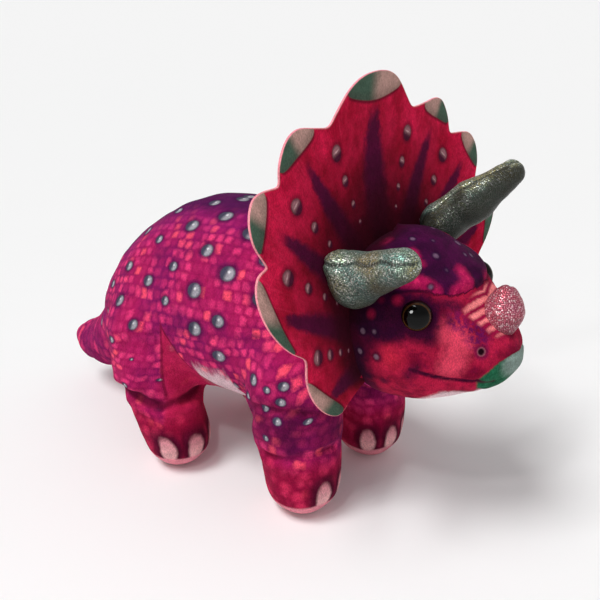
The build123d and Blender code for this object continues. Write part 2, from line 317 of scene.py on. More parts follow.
def body_field(x, y, z):
    """The whole stuffed body: torso, tail, four legs, neck and head."""
    y = np.abs(y)
    field = loft(x, y, z, TORSO, 2.2)
    field = merge(field, limb(x, y, z, TAIL, 4), 12)
    field = merge(field, limb(x, y, z, HIND_LEG, 6), 7)
    field = merge(field, limb(x, y, z, FRONT_LEG, 4), 8)
    field = merge(field, limb(x, y, z, NECK, 4), 8)
    field = merge(field, loft(x, y, z, HEAD, 2.3), 9)
    return np.maximum(field, -z)


def surface_net(field, low, step):
    """Closed quad mesh of the zero surface, with one point in each cell that it crosses."""
    inside = field < 0
    shape = np.array(field.shape) - 1
    total = np.zeros((*shape, 3))
    count = np.zeros(shape)

    def at(corner, values):
        return values[tuple(slice(c, c + n) for c, n in zip(corner, shape))]

    for corner in np.ndindex(2, 2, 2):
        for axis in range(3):
            if corner[axis]:
                continue
            other = tuple(c + (n == axis) for n, c in enumerate(corner))
            fa, fb = at(corner, field), at(other, field)
            cut = at(corner, inside) != at(other, inside)
            t = np.where(cut, fa / np.where(cut, fa - fb, 1), 0)
            for n in range(3):
                total[..., n] += np.where(cut, corner[n] + (t if n == axis else 0), 0)
            count += cut
    used = count > 0
    index = np.full(shape, -1)
    index[used] = np.arange(used.sum())
    points = (np.argwhere(used) + total[used] / count[used][:, None]) * step + np.array(low)
    faces = []
    for axis in range(3):
        u, v = (axis + 1) % 3, (axis + 2) % 3
        here = [slice(1, -1)] * 3
        here[axis] = slice(0, -1)
        there = list(here)
        there[axis] = slice(1, None)
        a, b = inside[tuple(here)], inside[tuple(there)]
        for turned, mask in ((False, a & ~b), (True, b & ~a)):
            cell = np.argwhere(mask)
            cell[:, u] += 1
            cell[:, v] += 1
            ring = []
            for du, dv in ((-1, -1), (0, -1), (0, 0), (-1, 0)):
                c = cell.copy()
                c[:, u] += du
                c[:, v] += dv
                ring.append(index[c[:, 0], c[:, 1], c[:, 2]])
            quads = np.stack(ring, 1)
            faces.append(quads[:, ::-1] if turned else quads)
    return points, np.concatenate(faces)


def net_of(shape, low, high, step):
    """Mesh of a field function, smoothed and pulled back onto its surface."""
    axes = [np.arange(a, b + step, step) for a, b in zip(low, high)]
    x, y, z = np.meshgrid(*axes, indexing="ij")
    points, faces = surface_net(shape(x, y, z), low, step)
    for _ in range(3):
        points = relax(points, faces, 0.5)
        value, normal, slope = surface_at(shape, points)
        points = points - normal * (value / np.maximum(slope, 0.3))[:, None]
    return points, faces


def surface_at(shape, points, reach=0.4):
    """Field, unit outward direction and steepness at each point."""
    x, y, z = points.T
    grad = np.stack(
        [
            shape(x + reach, y, z) - shape(x - reach, y, z),
            shape(x, y + reach, z) - shape(x, y - reach, z),
            shape(x, y, z + reach) - shape(x, y, z - reach),
        ],
        1,
    ) / (2 * reach)
    slope = np.linalg.norm(grad, axis=1)
    return shape(x, y, z), grad / np.maximum(slope, 1e-6)[:, None], slope


def relax(points, faces, share):
    """Each point moved a share of the way to the middle of its neighbours."""
    total = np.zeros_like(points)
    count = np.zeros(len(points))
    for i in range(faces.shape[1]):
        a, b = faces[:, i], faces[:, (i + 1) % faces.shape[1]]
        for m, n in ((a, b), (b, a)):
            for k in range(3):
                total[:, k] += np.bincount(m, points[n, k], len(points))
            count += np.bincount(m, minlength=len(points))
    return points + share * (total / np.maximum(count, 1)[:, None] - points)


def lumps(points, size, seed):
    """Smooth random value from about -1 to 1 at each point, for loose fibre under cloth."""
    draw = np.random.default_rng(seed)
    value = np.zeros(len(points))
    for _ in range(7):
        heading = draw.normal(size=3)
        heading /= np.linalg.norm(heading)
        turns = 2 * math.pi / size * draw.uniform(0.7, 1.3)
        value += np.sin(points @ heading * turns + draw.uniform(0, 6.3))
    return value / 3.2


def path_distance(points, path):
    """Distance from each point to a bent line."""
    best = np.full(len(points), 1e9)
    for a, b in zip(path, path[1:]):
        a, b = np.array(a, float), np.array(b, float)
        t = np.clip((points - a) @ (b - a) / ((b - a) @ (b - a)), 0, 1)
        best = np.minimum(best, np.linalg.norm(points - a - t[:, None] * (b - a), axis=1))
    return best


def hill(reach, wide):
    """Bell curve: 1 at no distance, falling off over a width."""
    return np.exp(-((reach / wide) ** 2))


def gap_to(points, place):
    return np.linalg.norm(points - np.array(place), axis=1)


# ---------------------------------------------------------------- meshes into Blender


def add_mesh(name, points, faces, values=None, vectors=None):
    """A smooth-shaded mesh in metres, with named numbers and vectors on its points."""
    mesh = bpy.data.meshes.new(name)
    mesh.vertices.add(len(points))
    mesh.vertices.foreach_set("co", (np.asarray(points) * MM).astype(np.float32).ravel())
    faces = np.asarray(faces)
    mesh.loops.add(faces.size)
    mesh.loops.foreach_set("vertex_index", faces.ravel().astype(np.int32))
    mesh.polygons.add(len(faces))
    mesh.polygons.foreach_set("loop_start", np.arange(0, faces.size, faces.shape[1], dtype=np.int32))
    mesh.update(calc_edges=True)
    mesh.polygons.foreach_set("use_smooth", np.ones(len(faces), bool))
    for key, data in (values or {}).items():
        layer = mesh.attributes.new(key, "FLOAT", "POINT")
        layer.data.foreach_set("value", np.asarray(data, np.float32))
    for key, data in {"rest": points, **(vectors or {})}.items():
        layer = mesh.attributes.new(key, "FLOAT_VECTOR", "POINT")
        layer.data.foreach_set("vector", np.asarray(data, np.float32).ravel())
    mesh.validate()
    thing = bpy.data.objects.new(name, mesh)
    bpy.context.scene.collection.objects.link(thing)
    return thing


# ---------------------------------------------------------------- paint


def ink(red, green, blue):
    """Linear colour of a printed one given from 0 to 255."""
    parts = [c / 255 for c in (red, green, blue)]
    return (*[c / 12.92 if c < 0.04045 else ((c + 0.055) / 1.055) ** 2.4 for c in parts], 1)


class Value:
    """A number in a material that can be added, scaled and compared like any other."""

    def __init__(self, paint, socket):
        self.paint, self.socket = paint, socket

    def __add__(self, other):
        return self.paint.math("ADD", self, other)

    def __sub__(self, other):
        return self.paint.math("SUBTRACT", self, other)

    def __rsub__(self, other):
        return self.paint.math("SUBTRACT", other, self)

    def __mul__(self, other):
        return self.paint.math("MULTIPLY", self, other)

    def __truediv__(self, other):
        return self.paint.math("DIVIDE", self, other)

    def __pow__(self, other):
        return self.paint.math("POWER", self, other)

    def __abs__(self):
        return self.paint.math("ABSOLUTE", self, 0)

    __radd__ = __add__
    __rmul__ = __mul__


class Paint:
    """A material built from nodes, written as sums."""

    def __init__(self, name):
        self.material = bpy.data.materials.new(name)
        self.material.use_nodes = True
        self.tree = self.material.node_tree
        self.shader = self.tree.nodes["Principled BSDF"]

    def plug(self, socket, value):
        if isinstance(value, Value):
            self.tree.links.new(value.socket, socket)
        else:
            socket.default_value = value

    def make(self, kind, inputs, output=0, **settings):
        node = self.tree.nodes.new(kind)
        for key, value in settings.items():
            setattr(node, key, value)
        for key, value in inputs.items():
            self.plug(node.inputs[key], value)
        return Value(self, node.outputs[output])

    def math(self, kind, a, b=0.0, c=0.0):
        return self.make("ShaderNodeMath", {0: a, 1: b, 2: c}, operation=kind)

    def low(self, a, b):
        return self.math("MINIMUM", a, b)

    def high(self, a, b):
        return self.math("MAXIMUM", a, b)

    def floor(self, a):
        return self.math("FLOOR", a)

    def step(self, low, high, value):
        """Smooth rise from 0 at low to 1 at high; high may be the smaller."""
        inputs = {"Value": value, "From Min": low, "From Max": high}
        return self.make("ShaderNodeMapRange", inputs, interpolation_type="SMOOTHSTEP")

    def mix(self, share, a, b, **settings):
        """Colour a turned into colour b by a share."""
        inputs = {"Factor": share, 6: a, 7: b}
        return self.make("ShaderNodeMix", inputs, output=2, data_type="RGBA", **settings)

    def lay(self, share, *tone):
        """Print a tone over a share of the cloth."""
        self.colour = self.mix(share, self.colour, ink(*tone))

    def number(self, name):
        return self.make("ShaderNodeAttribute", {}, output=2, attribute_name=name)

    def vector(self, name):
        return self.make("ShaderNodeAttribute", {}, output=1, attribute_name=name)

    def parts(self, vector):
        return [self.make("ShaderNodeSeparateXYZ", {0: vector}, output=n) for n in range(3)]

    def join(self, x, y, z=0.0):
        return self.make("ShaderNodeCombineXYZ", {0: x, 1: y, 2: z})

    def noise(self, vector, scale, detail=2.0, rough=0.5):
        inputs = {"Vector": vector, "Scale": scale, "Detail": detail, "Roughness": rough}
        return self.make("ShaderNodeTexNoise", inputs)

    def random(self, a, b, seed):
        return self.make("ShaderNodeTexWhiteNoise", {"Vector": self.join(a, b, seed)})

    def cells(self, vector, scale, output=0, random=1.0):
        inputs = {"Vector": vector, "Scale": scale, "Randomness": random}
        return self.make("ShaderNodeTexVoronoi", inputs, output=output)

    def bump(self, height, depth, strength=1.0):
        """Relief of a height that runs from 0 to 1 over a depth in metres."""
        return self.make("ShaderNodeBump", {"Height": height, "Distance": depth, "Strength": strength})

    def finish(self, **sockets):
        for name, value in sockets.items():
            self.plug(self.shader.inputs[name.replace("_", " ")], value)
        return self.material


def short_pile(paint, rest):
    """Brushed short pile over a printed colour: fine fibre, a soft edge glow and a matte face."""
    x, y, z = paint.parts(rest)
    fibre = paint.noise(paint.join(x, y, z * 0.5), 1.7, 4.0, 0.7)
    patchy = paint.noise(rest, 0.2, 3.0)
    shade = fibre * 1.9 + patchy * 0.6 - 0.28
    grey = paint.make("ShaderNodeCombineColor", {0: shade, 1: shade, 2: shade})
    tone = paint.mix(1.0, paint.colour, grey, blend_type="MULTIPLY")
    return paint.finish(
        Base_Color=tone,
        Roughness=0.88,
        Specular_IOR_Level=0.03,
        Sheen_Weight=0.035,
        Sheen_Roughness=0.45,
        Sheen_Tint=(1.0, 0.5, 0.65, 1),
        Normal=paint.bump(fibre, 0.0008, 0.6),
    )


# Printed studs: light half, dark half and halo; then the print's pitches and the toe nails, in mm
STUD_INKS = (ink(158, 156, 164), ink(66, 66, 84), ink(64, 16, 66))
STUD_PITCH = (20.5, 25.0)
SCALE_WIDE, SCALE_TALL = 6.1, 6.4
TOE_PITCH, NAIL_MID, NAIL_WIDE, NAIL_TALL = 17.0, 17.5, 5.0, 9.5


def studs(paint, colour, across, along, radius, keep):
    """Printed oval studs: a halo, a dark half and a light half, from cell-centred coordinates."""
    light, dark, halo = STUD_INKS
    reach = ((across * across) * 0.8 + (along * along)) ** 0.5 / radius
    ring = paint.step(1.9, 1.0, reach) * keep
    colour = paint.mix(ring * 0.8, colour, halo)
    disc = paint.step(1.12, 0.9, reach) * keep
    side = paint.step(-0.55, 0.25, across / radius - along / radius * 0.2)
    face = paint.mix(side, dark, light)
    face = paint.mix(paint.step(0.62, 1.0, reach) * 0.75, face, dark)
    shine_a, shine_b = across / radius - 0.12, along / radius - 0.25
    shine = paint.step(0.3, 0.1, (shine_a * shine_a + shine_b * shine_b) ** 0.5)
    face = paint.mix(shine * 0.8, face, ink(222, 222, 226))
    return paint.mix(disc, colour, face)


def body_paint():
    """Printed body plush: scale patches, grey studs, purple back, pale belly, toes and soles, with painted shade in
    the folds.
    """
    paint = Paint("printed_body_plush")
    mix, step, lay, number = paint.mix, paint.step, paint.lay, paint.number
    rest = paint.vector("rest")
    x, y, z = paint.parts(rest)
    drift = paint.noise(rest, 0.045, 2.0)
    drift_b = paint.noise(paint.join(y, z, x), 0.05, 2.0)
    u = number("print_u") + (drift - 0.5) * 7
    v = number("print_v") + (drift_b - 0.5) * 7
    # scales
    row = paint.floor(v / SCALE_TALL)
    slot_u = u / SCALE_WIDE + row * 0.5 + paint.random(row, 0.0, 3.0) * 0.4
    column = paint.floor(slot_u)
    fu = abs(slot_u - column - 0.5) * 2
    fv = abs(v / SCALE_TALL - row - 0.5) * 2
    edge = (fu**3 + fv**3) ** 0.3333
    lot = paint.random(column, row, 1.0)
    ragged = paint.noise(rest, 0.35, 3.0, 0.6)
    patch = step(1.25, 0.25, edge + (ragged - 0.5) * 1.4)
    big = paint.noise(rest, 0.028, 2.0)
    region = step(0.35, 0.62, big)
    warm = step(0.35, 0.62, big + (lot - 0.5) * 0.35)
    line = mix(region, ink(120, 18, 84), ink(158, 22, 82))
    fill = mix(lot, ink(186, 34, 100), ink(232, 62, 122))
    fill = mix(step(0.75, 0.98, lot) * warm, fill, ink(246, 80, 108))
    paint.colour = mix(patch * (0.3 + step(0.0, 0.75, lot) * 0.7), line, fill)
    # soft purple clouds and the dark back
    cloud = step(0.5, 0.72, paint.noise(rest, 0.04, 3.0, 0.55))
    lay(cloud * 0.62, 98, 14, 78)
    crease_shade = number("crease_shade") * (0.6 + ragged * 0.8)
    crest = number("crest") + (ragged - 0.5) * 10 + (drift - 0.5) * 26
    lay(step(58, 26, crest) * 0.6, 128, 22, 104)
    lay(step(40, 12, crest) * 0.92, 70, 16, 72)
    # studs
    su = number("print_u") / STUD_PITCH[0]
    i = paint.floor(su + 0.5)
    odd = paint.make("ShaderNodeMath", {0: i, 1: 2.0}, operation="FLOORED_MODULO")
    sv = number("print_v") / STUD_PITCH[1] + odd * 0.5
    j = paint.floor(sv + 0.5)
    jitter_u = (paint.random(i, j, 5.0) - 0.5) * 6
    jitter_v = (paint.random(i, j, 9.0) - 0.5) * 7
    across = (su - i) * STUD_PITCH[0] - jitter_u
    along = (sv - j) * STUD_PITCH[1] - jitter_v
    size = number("stud") * (0.72 + paint.random(i, j, 13.0) * 0.42)
    keep = step(0.1, 0.2, size)
    spotted = studs(paint, paint.colour, across, along, paint.high(size, 0.1), keep)
    # pale belly with streaks up the flank
    streak = paint.noise(paint.join(x, y * 0.3, z * 0.3), 0.22, 3.0, 0.6)
    pale = step(-5, 7, number("belly") + (streak - 0.5) * 26)
    paint.colour = mix(pale, spotted, ink(226, 196, 204))
    # plain inner gusset of the hind legs
    gusset = number("gusset")
    plain = mix(paint.noise(rest, 0.07, 2.0), ink(140, 14, 54), ink(214, 42, 96))
    paint.colour = mix(step(-1.5, 1.5, gusset) * 0.9, paint.colour, plain)
    seam = step(1.1, 0.3, abs(gusset)) * step(50, 56, z)
    lay(seam * 0.6, 90, 6, 34)
    # painted shade: the folds are darkened by how deep the skin is dented there
    lay(step(0.25, 2.6, crease_shade) * 0.8, 70, 4, 36)
    shoulder = step(44, 54, z + (drift - 0.5) * 14) * step(88, 66, z) * step(20, 36, x)
    lay(shoulder * (0.5 + cloud * 0.35), 70, 8, 52)
    outer_side = step(38, 44, abs(y))
    for centre, radius in LEG_STUDS:
        across, along = x - centre[0], z - centre[2]
        paint.colour = studs(paint, paint.colour, across, along, radius, outer_side)
    # feet
    is_leg = number("is_leg")
    low_leg = step(50, 32, z + (drift - 0.5) * 20) * is_leg
    blotch = step(0.62, 0.15, paint.cells(rest, 0.12, random=0.7) + (ragged - 0.5) * 0.35)
    leg_print = mix(blotch, ink(138, 10, 48), ink(208, 44, 84))
    paint.colour = mix(low_leg * 0.85, paint.colour, leg_print)
    near = None
    for toe in range(3):
        gap = (number("toe_turn") - float(toe)) * TOE_PITCH / NAIL_WIDE
        reach = (gap**2.0 + ((z - NAIL_MID) / NAIL_TALL) ** 2.0) ** 0.5
        near = reach if near is None else paint.low(near, reach)
    between = step(2.6, 1.15, near) * step(6, 12, z) * step(40, 26, z) * is_leg
    lay(between * 0.9, 58, 6, 34)
    nail = step(1.22, 0.72, near + (ragged - 0.5) * 0.25) * is_leg
    nail_ink = mix(step(12, 27, z), ink(232, 176, 178), ink(206, 134, 144))
    paint.colour = mix(nail, paint.colour, nail_ink)
    sole = step(12.5, 10.0, z + (drift - 0.5) * 5) * is_leg
    lay(sole, 228, 142, 156)
    return short_pile(paint, rest)


# Printed marks on the head: centre and radius, with Y to either side
RED_SPOTS = (((124.6, 39.5, 143.8), 2.2), ((113.3, 44.5, 135.4), 2.0), ((117, 44, 144), 1.8))
BROW_SPOTS = (
    ((116, 11, 166.5), 1.5),
    ((130.5, 12, 161), 2.2),
    ((138, 13.5, 155.5), 1.7),
    ((136, 27.5, 149.5), 1.4),
    ((124.5, 4, 166), 1.2),
    ((137.5, -7.4, 157.5), 1.2),
)
CHEEK_STUDS = (
    (118.8, 47, 114.5),
    (108.6, 47, 114.5),
    (117, 46, 127.5),
    (110, 46.5, 126),
    (121, 45, 99),
    (112, 45, 99),
)
NOSTRIL = (162.5, 21.3, 119.5)
# Stripes across the snout: X along the middle line and half width
STRIPES = ((152.2, 0.6), (155.4, 1.15), (159.0, 1.05), (162.4, 0.9), (166.0, 0.8), (169.2, 0.6))


def spot(paint, x, y, z, centre, radius, soft):
    """1 inside a ball, 0 outside it."""
    parts = [p - c for p, c in zip((x, y, z), centre)]
    reach = (parts[0] ** 2.0 + parts[1] ** 2.0 + parts[2] ** 2.0) ** 0.5
    return paint.step(radius + soft, radius - soft, reach)


def face_paint():
    """Printed head plush: rosy muzzle, dark eye surround, purple brow, striped nose, green beak, and painted frill
    shadow over the back of the head.
    """
    paint = Paint("printed_face_plush")
    mix, step, lay, number = paint.mix, paint.step, paint.lay, paint.number
    rest = paint.vector("rest")
    x, side, z = paint.parts(rest)
    y = abs(side)
    grain = paint.noise(rest, 0.35, 4.0, 0.65)
    cloud = paint.noise(rest, 0.08, 3.0, 0.55)
    ragged = (grain - 0.5) * 7
    paint.colour = mix(step(0.38, 0.62, cloud), ink(126, 10, 46), ink(182, 28, 66))
    lay(step(0.48, 0.72, grain) * 0.7, 112, 8, 54)
    rosy = step(3, -6, number("muzzle") + ragged)
    lay(rosy * 0.8, 234, 74, 102)
    # painted shadow of the frill: the back of the head darkens towards it
    back = step(127, 107, x + ragged + (cloud - 0.5) * 24)
    lay(back * 0.93, 70, 6, 42)
    cheek = spot(paint, x, y, z, (126, 46, 116), 5, 7)
    lay(cheek * 0.8, 222, 44, 74)
    lay(step(3, -4, number("gloom") + ragged) * 0.94, 44, 6, 42)
    speckle = paint.noise(rest, 0.5, 3.0, 0.7)
    nose_top = spot(paint, x, y, z, (159, 20, 127), 6.5, 4)
    nose_top = nose_top + spot(paint, x, y, z, (151, 25, 134), 5, 4)
    nose_top = paint.low(nose_top, 1.0) * step(0.38, 0.58, speckle)
    lay(nose_top * 0.85, 92, 14, 80)
    for centre, radius in RED_SPOTS:
        lay(spot(paint, x, y, z, centre, radius, 2.0) * 0.8, 196, 28, 76)
    # forehead above the brow seam
    brow = number("brow")
    top = mix(step(0.35, 0.7, cloud), ink(48, 6, 44), ink(70, 9, 58))
    pink = mix(step(0.4, 0.7, grain), ink(168, 20, 80), ink(212, 42, 98))
    top = mix(step(2.4, -2.2, number("blush") + ragged * 0.8) * 0.95, top, pink)
    for centre, radius in BROW_SPOTS:
        sided = y if centre[1] > 8 else side * -1.0
        top = mix(spot(paint, x, sided, z, centre, radius + 0.9, 0.6) * 0.7, top, ink(44, 12, 50))
        top = mix(spot(paint, x, sided, z, centre, radius * 0.8, 0.7), top, ink(112, 84, 110))
    paint.colour = mix(step(-0.5, 0.5, brow), paint.colour, top)
    # painted shade: the head next to the frill is darkened almost to the frill's dark base
    lay(step(113, 99, x + ragged) * 0.92, 56, 3, 26)
    lay(step(1.5, 0.3, abs(brow)) * 0.75, 40, 4, 34)
    # pale stripes across the snout behind the nose horn
    across = x + y * 0.27 + (grain - 0.5) * 1.6
    reach_y = y + (x - 150) * 0.45 + (grain - 0.5) * 3
    zone = step(21, 18.5, reach_y) * step(149, 152, x) * step(171, 168, x)
    lay(zone * step(122, 126, z) * 0.9, 150, 16, 62)
    for centre, width in STRIPES:
        stripe = step(width + 0.5, width - 0.7, abs(across - centre))
        stripe = stripe * zone * step(123, 127, z)
        lay(stripe * 0.95, 250, 138, 140)
    # nostril
    for radius, soft, share, tone in (
        (4.0, 1.2, 0.75, ink(104, 12, 58)),
        (2.3, 0.4, 1.0, ink(150, 84, 100)),
        (1.8, 0.5, 1.0, ink(30, 4, 16)),
    ):
        paint.colour = mix(spot(paint, x, y, z, NOSTRIL, radius, soft) * share, paint.colour, tone)
    # little studs on the cheek
    for centre in CHEEK_STUDS:
        halo = spot(paint, x, y, z, centre, 3.0, 1.2)
        lay(halo * 0.75, 40, 8, 42)
        disc = spot(paint, x + 0.4, y, z, centre, 1.5, 0.6)
        lay(disc * 0.8, 128, 100, 120)
    # pale chin, green beak and the mouth
    lay(step(-1.5, 3.0, number("chin") + ragged * 0.6), 228, 198, 204)
    shell = mix(step(0.3, 0.7, grain), ink(22, 82, 56), ink(42, 108, 78))
    light = step(169.5, 173.5, x + (z - 108) * 0.12 + (grain - 0.5) * 2)
    shell = mix(light * 0.85, shell, ink(142, 158, 152))
    shell = mix(step(100, 96, z) * 0.4, shell, ink(24, 60, 46))
    paint.colour = mix(step(-0.7, 0.7, number("beak") + (grain - 0.5) * 1.2), paint.colour, shell)
    lay(step(1.7, 0.5, number("mouth")), 66, 6, 40)
    return short_pile(paint, rest)


def frill_paint():
    """Crimson frill front with dark stripes, small studs and two-coloured lobe tips, painted shade towards the head,
    and a pink edge.
    """
    paint = Paint("printed_frill_plush")
    mix, step, lay, number = paint.mix, paint.step, paint.lay, paint.number
    rest = paint.vector("rest")
    grain = paint.noise(rest, 0.25, 3.0, 0.6)
    cloud = paint.noise(rest, 0.05, 3.0, 0.5)
    rho, lobe, edge = number("rho"), number("lobe"), number("edge")
    turn = paint.floor(lobe)
    share = lobe - turn
    paint.colour = mix(step(0.3, 0.7, cloud), ink(170, 10, 46), ink(216, 28, 74))
    fibre = paint.noise(paint.join(lobe * 22, rho * 3.0, 0.0), 1.0, 3.0, 0.6)
    lay(step(0.5, 0.8, fibre) * 0.4, 226, 50, 92)
    # painted shade: the frill front darkens towards the head
    lay(step(0.95, 0.35, rho) * 0.7, 96, 3, 22)
    # stripes up the middle of each lobe, wider towards the head
    off = abs(share - 0.5) + (grain - 0.5) * 0.12
    width = 0.075 + paint.high(0.74 - rho, 0.0) * 0.5
    stripe = step(1.1, 0.35, off / width) * step(0.82, 0.7, rho + (cloud - 0.5) * 0.2)
    lay(stripe * 0.9, 66, 6, 50)
    # painted shade: deepest round the frill's base by the head
    lay(step(0.6, 0.16, rho + (cloud - 0.5) * 0.3) * 0.92, 56, 2, 20)
    # studs on the lines between the lobes
    reach, rise = number("stud_reach") ** 0.5, number("stud_rise")
    lay(step(1.7, 1.0, reach) * 0.6, 84, 4, 34)
    face = mix(step(-0.5, 0.4, rise), ink(74, 22, 48), ink(160, 108, 116))
    face = mix(step(0.6, 1.0, reach) * 0.7, face, ink(70, 12, 36))
    face = mix(step(0.35, 0.1, abs(rise - 0.25) + reach * 0.4) * 0.7, face, ink(214, 180, 180))
    paint.colour = mix(step(1.12, 0.85, reach), paint.colour, face)
    # lobe tips
    first, last = number("tip_from"), number("tip_to")
    along = paint.low(paint.high((share - first) / (last - first), 0.0), 1.0)
    depth = paint.math("SINE", along * math.pi) ** 0.7 * number("tip_depth")
    inside = step(-0.5, 0.5, depth - edge)
    rim_line = step(2.4, 0.6, abs(depth - edge)) * step(0.0, 3.0, depth)
    lay(rim_line * 0.75, 72, 6, 28)
    halves = step(-0.07, 0.07, (share - (first + last) * 0.5) * number("tip_side"))
    tip = mix(halves, ink(192, 152, 142), ink(72, 98, 82))
    tip = mix(step(6.0, 0.0, depth - edge) * 0.4, tip, ink(66, 62, 56))
    paint.colour = mix(inside, paint.colour, tip)
    # pink foam edge and the plain back
    back = number("back")
    behind = mix(step(0.35, 0.65, cloud), ink(196, 32, 76), ink(228, 62, 104))
    paint.colour = mix(step(0.4, 0.6, back), paint.colour, behind)
    lay(number("raw"), 244, 150, 162)
    return short_pile(paint, rest)


def foil_paint(name, base, dot, warm, cool, shadow):
    """Knit cloth printed with fine foil dots that shine in shifting colours, with painted shade on its lower side and
    over the far horn.
    """
    paint = Paint(name)
    rest = paint.vector("rest")
    reach = paint.cells(rest, 1.15, random=0.5)
    tint = paint.cells(rest, 1.15, output=1, random=0.5)
    lot = paint.parts(tint)[0]
    shift = paint.noise(rest, 0.06, 2.0)
    sheen = paint.mix(paint.step(0.35, 0.65, shift), cool, warm)
    foil = paint.mix(paint.step(0.5, 1.0, lot), sheen, dot)
    on = paint.step(0.7, 0.3, reach)
    tone = paint.mix(on * 0.85, base, foil)
    # painted shade and painted dark reflection: the foil turns to the shadow tone on its lower side
    under = paint.number("under") + (shift - 0.5) * 0.8
    tone = paint.mix(paint.step(-0.2, 0.9, under) * 0.7, tone, shadow)
    # painted shade on the far horn: all but its top edge is turned nearly black
    tone = paint.mix(paint.number("far") * paint.step(-0.8, -0.4, under) * 0.93, tone, ink(22, 23, 11))
    seam = paint.number("seam")
    stitch = paint.step(-0.2, 0.3, paint.math("SINE", paint.number("run") * 3.4))
    tone = paint.mix(paint.step(1.1, 0.3, seam) * (stitch * 0.4 + 0.5), tone, ink(24, 28, 26))
    dip = on * 1.0 - paint.step(1.4, 0.2, seam) * 2.0
    return paint.finish(
        Base_Color=tone,
        Metallic=on * 0.75,
        Roughness=0.5 - on * 0.2,
        Normal=paint.bump(dip + paint.noise(rest, 0.9, 2.0) * 0.6, 0.0004, 0.8),
    )


# ---------------------------------------------------------------- the stuffed skin


def print_coordinates(points):
    """Where each point lies on the flat printed panel, and what is printed there."""
    x, y, z = points.T
    y = np.abs(y)
    mid, tall, deep, wide = section(TORSO, x)
    rise = z - mid
    height = np.where(rise > 0, tall, deep)
    lean = np.arctan2(rise / np.maximum(height, 4), y / np.maximum(wide, 4))
    spread = 0.45 * np.clip(height, 12, 80) + 0.55 * 62
    u, v = x.copy(), 98 + spread * lean
    crest = (math.pi / 2 - lean) * np.clip(height, 20, 80)
    # down the legs the print turns with the leg
    leg_share = np.zeros(len(x))
    calm = np.ones(len(x))
    toe_turn = np.full(len(x), 9.0)
    for chain, first, gap in ((FRONT_LEG, -22, 42), (HIND_LEG, -62, 50)):
        knots = np.array([[c[2], c[0], c[1], r] for c, r in chain])
        cx, cy, radius = [curve_through(knots[:, 0], knots[:, n], z) for n in (1, 2, 3)]
        reach = np.hypot(x - cx, y - cy) / radius
        share = ramp(1.35, 1.1, reach) * ramp(84, 56, z)
        outward = np.arctan2(x - cx, y - cy)
        lu = cx + 22 * outward + 6
        calm = np.minimum(calm, 1 - 3.4 * share * (1 - share))
        u = u * (1 - share) + lu * share
        v = v * (1 - share) + (z - 6) * share
        leg_share = np.maximum(leg_share, ramp(1.5, 1.15, reach) * ramp(88, 60, z))
        inward = np.degrees(np.arctan2(cy - y, x - cx))
        near = (reach < 1.6) & (z < 60)
        toe_turn[near] = ((inward - first) / gap)[near]
    return u, v, crest, leg_share, toe_turn, calm


# Folds: path on the right side, depth, half width, and how much of it the left side has
FOLDS = (
    (((44, -61, 69), (58, -63, 72), (72, -61, 73), (84, -50, 71), (90, -36, 68)), 2.2, 2.6, 0.8),
    (((50, -60, 41), (62, -61.5, 42), (75, -57, 45), (86, -45, 47), (91, -34, 46)), 2.3, 2.4, 0.7),
    (((47, -57, 66), (60, -62, 68)), 0.9, 4.0, 1.0),
    (
        ((-66, -50, 46), (-52, -65, 51), (-38, -67, 49), (-24, -60, 46), (-16, -46, 48), (-17, -30, 50)),
        *(3.6, 3.4, 0.9),
    ),
    (((-40, -66, 50), (-30, -66, 60), (-27, -66, 72)), 1.4, 3.2, 1.0),
    (((-44, -66, 43), (-34, -67, 38), (-24, -62, 36)), 1.3, 3.2, 1.0),
    (((-24, -58, 105), (-24, -60, 92), (-25, -63, 78), (-24, -62, 64), (-22, -58, 52)), 1.5, 2.0, 1.0),
    (((-25, -60, 101), (-34, -63, 104), (-44, -62, 104)), 1.3, 2.6, 1.0),
    (((-27, -62, 96), (-38, -66, 92), (-50, -66, 82)), 1.0, 4.0, 1.0),
    (((-110, -10, 74), (-106, -24, 66), (-98, -30, 56), (-92, -30, 48)), 2.0, 4.0, 1.0),
    (((-104, -30, 84), (-100, -34, 74), (-92, -38, 62)), 1.2, 4.0, 0.8),
    (((28, -40, 47), (38, -50, 52), (44, -58, 62)), 1.5, 4.0, 1.0),
)
# Lines along the right side of the face
BROW = (
    *((112, -43, 146), (127, -36.5, 148), (134.5, -31, 148.6)),
    *((141, -27, 146), (146, -20, 145), (151, -8, 145)),
)
MOUTH = (
    *((135.5, -44, 111), (142.5, -39.5, 108.6), (151.6, -32, 105.2)),
    *((162.5, -23, 103.2), (168, -15, 102.5)),
)
EYE_HOLLOW = (136.6, -40, 137.5)
# Dark fur round the eye and jaw, and pink patches above the brow: path and half width
GLOOM = (
    (((96, -43, 150), (112, -45, 142), (127, -42, 140)), 11),
    (((98, -46, 134), (114, -47, 130), (128, -44, 131)), 7.5),
    ((EYE_HOLLOW, (137, -40, 138)), 12.8),
    (((140, -39, 132), (141.5, -38, 128.5)), 5),
    (((140, -35, 145), (146, -26, 142.5), (149, -22, 141)), 4),
    (((146, -31, 140), (149, -28, 135)), 3.2),
    (((138, -42.5, 112), (134.5, -44, 107.5)), 2.6),
    (((106, -46, 112), (104, -44, 92)), 6),
)
BLUSH_BOTH = (
    (((101, -13.5, 164), (103, -15, 163.5)), 3.2),
    (((96, -25, 158), (99, -27, 158)), 3.0),
    (((121, -19, 162.5), (123, -20.5, 161.5)), 2.6),
    (((127, -21.5, 159.5), (127.5, -22, 159)), 1.6),
    (((125, -34, 152), (133, -29.5, 151.5), (139, -27, 147)), 3.4),
)
BLUSH_ONE = (
    (((142.5, -5, 154), (147, -8.5, 148), (146, -18, 145.5)), 3.8),
    (((148, 8, 147), (145, 19, 146)), 2.0),
)


def patches(points, paths):
    """How far each point lies outside the nearest patch drawn along a path."""
    gap = np.full(len(points), 99.0)
    for path, wide in paths:
        gap = np.minimum(gap, path_distance(points, path) - wide)
    return gap


